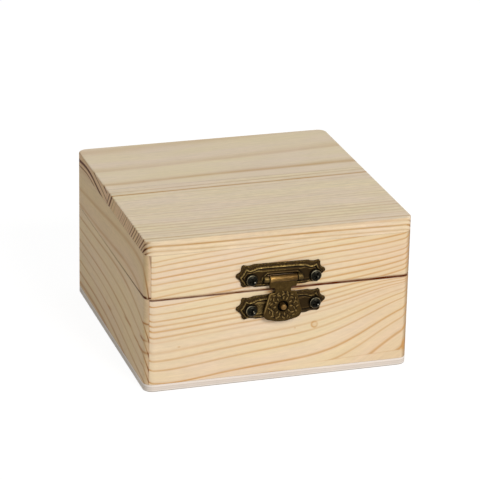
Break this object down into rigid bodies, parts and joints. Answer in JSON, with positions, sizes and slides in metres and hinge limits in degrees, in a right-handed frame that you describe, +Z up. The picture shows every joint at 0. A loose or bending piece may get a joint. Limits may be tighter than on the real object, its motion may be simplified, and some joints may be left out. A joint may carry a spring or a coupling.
{
  "type": "hinged wooden box",
  "caption": "Small square pine box with a hinged lid, a plywood bottom and a scalloped hasp latch on the front.",
  "frame": {"origin": "middle of the underside", "axes": "+Z up, +X to the right, the latch faces -Y"},
  "size_m": [0.1, 0.1068, 0.0579],
  "materials": {
    "pine_board": "bare sanded softwood",
    "pine_top": "bare sanded softwood",
    "plywood": "bare sanded plywood",
    "plate_bronze": "antique bronze, rubbed on its edges",
    "tongue_bronze": "antique bronze, rubbed on its barrel",
    "catch_brass": "worn brass",
    "screw_black": "blackened steel",
    "hinge_bronze": "antique bronze",
    "pin_steel": "darkened steel"
  },
  "bodies": {
    "base": {"base_front_board": "pine_board", "base_right_board": "pine_board", "base_back_board": "pine_board", "base_left_board": "pine_board", "base_bottom_panel": "plywood", "latch_lower_plate": "plate_bronze", "catch_pin": "catch_brass", "latch_lower_screws": "screw_black", "hinge_base_screws": "screw_black", "left_hinge_base_leaf": "hinge_bronze", "right_hinge_base_leaf": "hinge_bronze", "left_hinge_pin": "pin_steel", "right_hinge_pin": "pin_steel"},
    "lid": {"lid_front_board": "pine_board", "lid_right_board": "pine_board", "lid_back_board": "pine_board", "lid_left_board": "pine_board", "lid_top_back_board": "pine_top", "lid_top_front_board": "pine_top", "latch_upper_plate": "plate_bronze", "latch_hinge_pin": "pin_steel", "latch_upper_screws": "screw_black", "hinge_lid_screws": "screw_black", "left_hinge_lid_leaf": "hinge_bronze", "right_hinge_lid_leaf": "hinge_bronze"},
    "tongue": {"latch_tongue": "tongue_bronze"}
  },
  "joints": [
    {"name": "lid_hinge", "type": "hinge", "parent": "base", "child": "lid", "pos_m": [0, 0.05155, 0.03595], "axis": [-1, 0, 0], "range_deg": [0, 180]},
    {"name": "latch_hinge", "type": "hinge", "parent": "lid", "child": "tongue", "pos_m": [0.0004, -0.0519, 0.04015], "axis": [-1, 0, 0], "range_deg": [0, 170]}
  ]
}
